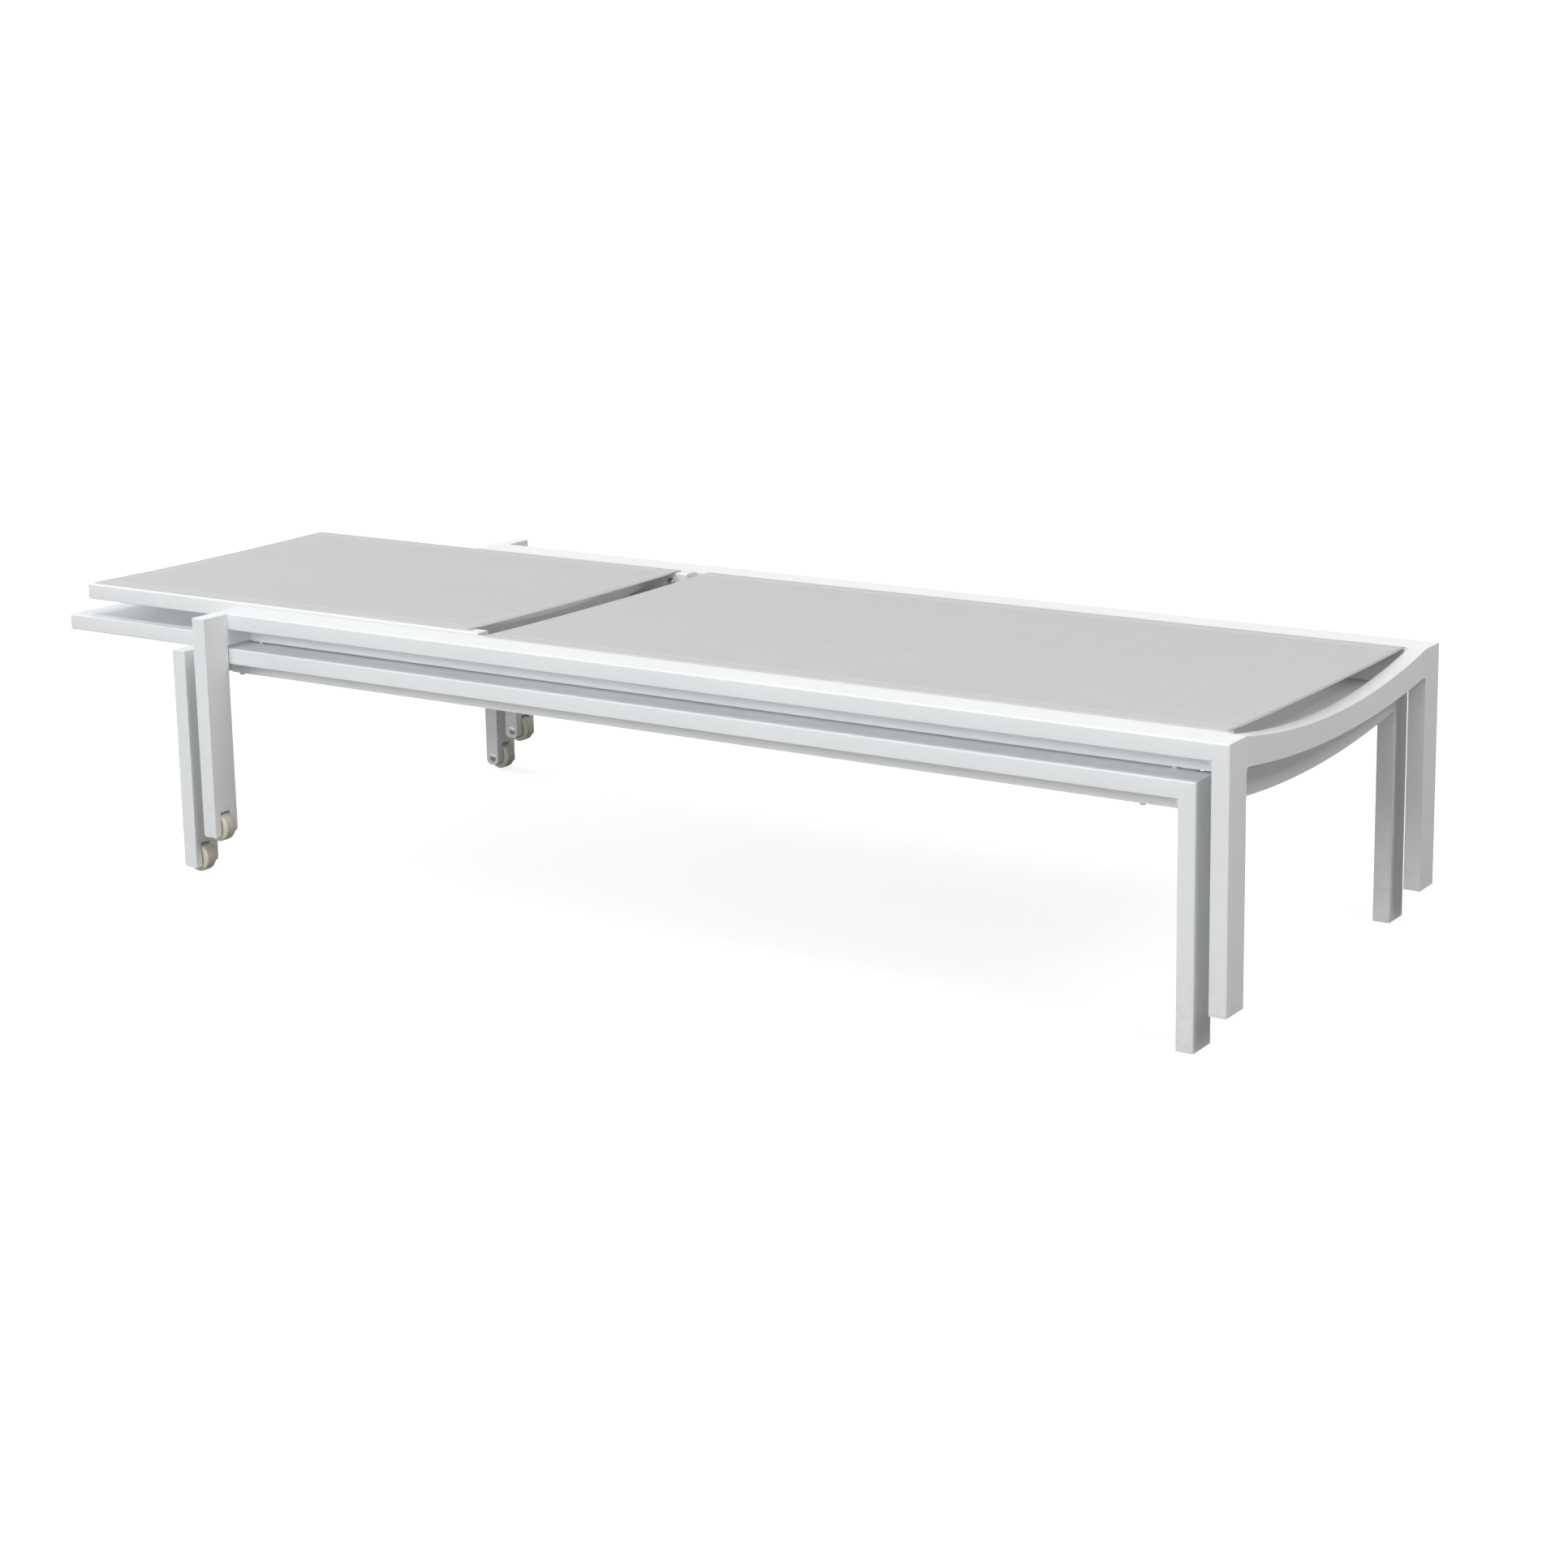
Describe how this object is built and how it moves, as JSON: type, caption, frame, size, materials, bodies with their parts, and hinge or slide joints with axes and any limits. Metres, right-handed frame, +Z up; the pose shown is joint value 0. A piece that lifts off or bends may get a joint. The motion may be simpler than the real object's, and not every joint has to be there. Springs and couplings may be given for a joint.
{
  "type": "stacked sun loungers",
  "caption": "Nested stack of sling sun loungers with white tube frames, reclining backrests on notched racks, and small transport wheels at the head end.",
  "frame": {"origin": "centre of the stack's footprint, on the ground", "axes": "+X towards the foot end, along the length; +Y towards the far side; +Z up"},
  "size_m": [2.09, 0.79, 0.4104],
  "materials": {
    "frame_paint": "aluminium tube with a satin white powder coat of fine texture",
    "end_plastic": "matt white",
    "sling_grey": "coated mesh weave",
    "sling_white": "coated mesh weave",
    "wheel_nylon": "satin cream nylon",
    "plated_steel": "zinc plated",
    "pad_rubber": "matt"
  },
  "bodies": {
    "lower_frame": {"lower_side_rail_near": "frame_paint", "lower_side_rail_far": "frame_paint", "lower_sling_tracks": "frame_paint", "lower_foot_leg_near": "frame_paint", "lower_foot_leg_far": "frame_paint", "lower_foot_cross_rail": "frame_paint", "lower_end_caps": "end_plastic", "lower_wheel_leg_near": "frame_paint", "lower_wheel_leg_far": "frame_paint", "lower_wheel_forks": "frame_paint", "lower_wheel_axles": "plated_steel", "lower_head_cross_tube": "frame_paint", "lower_seat_spreaders": "frame_paint", "lower_prop_racks": "frame_paint", "lower_bumper_pads": "pad_rubber", "lower_seat_sling": "sling_white", "lower_hinge_washers": "pad_rubber", "lower_hinge_nuts": "plated_steel"},
    "lower_backrest": {"lower_backrest_rail_near": "frame_paint", "lower_backrest_rail_far": "frame_paint", "lower_backrest_head_tube": "frame_paint", "lower_backrest_spreader": "frame_paint", "lower_backrest_caps": "end_plastic", "lower_backrest_sling": "sling_white", "lower_prop_lugs": "frame_paint", "lower_pivot_bolts": "plated_steel"},
    "lower_prop": {"lower_prop_arms": "frame_paint", "lower_prop_foot_bar": "frame_paint"},
    "lower_near_wheel": {"lower_wheel_near": "wheel_nylon"},
    "lower_far_wheel": {"lower_wheel_far": "wheel_nylon"},
    "upper_frame": {"upper_side_rail_near": "frame_paint", "upper_side_rail_far": "frame_paint", "upper_sling_tracks": "frame_paint", "upper_foot_leg_near": "frame_paint", "upper_foot_leg_far": "frame_paint", "upper_foot_cross_rail": "frame_paint", "upper_end_caps": "end_plastic", "upper_wheel_leg_near": "frame_paint", "upper_wheel_leg_far": "frame_paint", "upper_wheel_forks": "frame_paint", "upper_wheel_axles": "plated_steel", "upper_head_cross_tube": "frame_paint", "upper_seat_spreaders": "frame_paint", "upper_prop_racks": "frame_paint", "upper_bumper_pads": "pad_rubber", "upper_seat_sling": "sling_grey", "upper_hinge_washers": "pad_rubber", "upper_hinge_nuts": "plated_steel"},
    "upper_backrest": {"upper_backrest_rail_near": "frame_paint", "upper_backrest_rail_far": "frame_paint", "upper_backrest_head_tube": "frame_paint", "upper_backrest_spreader": "frame_paint", "upper_backrest_caps": "end_plastic", "upper_backrest_sling": "sling_grey", "upper_prop_lugs": "frame_paint", "upper_pivot_bolts": "plated_steel"},
    "upper_prop": {"upper_prop_arms": "frame_paint", "upper_prop_foot_bar": "frame_paint"},
    "upper_near_wheel": {"upper_wheel_near": "wheel_nylon"},
    "upper_far_wheel": {"upper_wheel_far": "wheel_nylon"}
  },
  "joints": [
    {"name": "upper_lift", "type": "slide", "parent": "lower_frame", "child": "upper_frame", "axis": [0, 0, 1], "range_m": [0, 0.9]},
    {"name": "upper_backrest_tilt", "type": "hinge", "parent": "upper_frame", "child": "upper_backrest", "pos_m": [-0.224, 0, 0.3935], "axis": [0, 1, 0], "range_deg": [0, 65]},
    {"name": "upper_prop_swing", "type": "hinge", "parent": "upper_backrest", "child": "upper_prop", "pos_m": [-0.414, 0, 0.377], "axis": [0, 1, 0], "range_deg": [-130, 0]},
    {"name": "upper_near_wheel_spin", "type": "hinge", "parent": "upper_frame", "child": "upper_near_wheel", "pos_m": [-0.641, -0.371, 0.076], "axis": [0, 1, 0], "continuous": true},
    {"name": "upper_far_wheel_spin", "type": "hinge", "parent": "upper_frame", "child": "upper_far_wheel", "pos_m": [-0.641, 0.371, 0.076], "axis": [0, 1, 0], "continuous": true},
    {"name": "lower_backrest_tilt", "type": "hinge", "parent": "lower_frame", "child": "lower_backrest", "pos_m": [-0.269, 0, 0.3395], "axis": [0, 1, 0], "range_deg": [0, 65]},
    {"name": "lower_prop_swing", "type": "hinge", "parent": "lower_backrest", "child": "lower_prop", "pos_m": [-0.459, 0, 0.323], "axis": [0, 1, 0], "range_deg": [-130, 0]},
    {"name": "lower_near_wheel_spin", "type": "hinge", "parent": "lower_frame", "child": "lower_near_wheel", "pos_m": [-0.686, -0.371, 0.022], "axis": [0, 1, 0], "continuous": true},
    {"name": "lower_far_wheel_spin", "type": "hinge", "parent": "lower_frame", "child": "lower_far_wheel", "pos_m": [-0.686, 0.371, 0.022], "axis": [0, 1, 0], "continuous": true}
  ],
  "couplings": [
    {"joint": "upper_prop_swing", "follows": "upper_backrest_tilt", "ratio": -2},
    {"joint": "lower_backrest_tilt", "follows": "upper_lift", "rad_per_m": 1.26},
    {"joint": "lower_prop_swing", "follows": "upper_lift", "rad_per_m": -2.52}
  ]
}
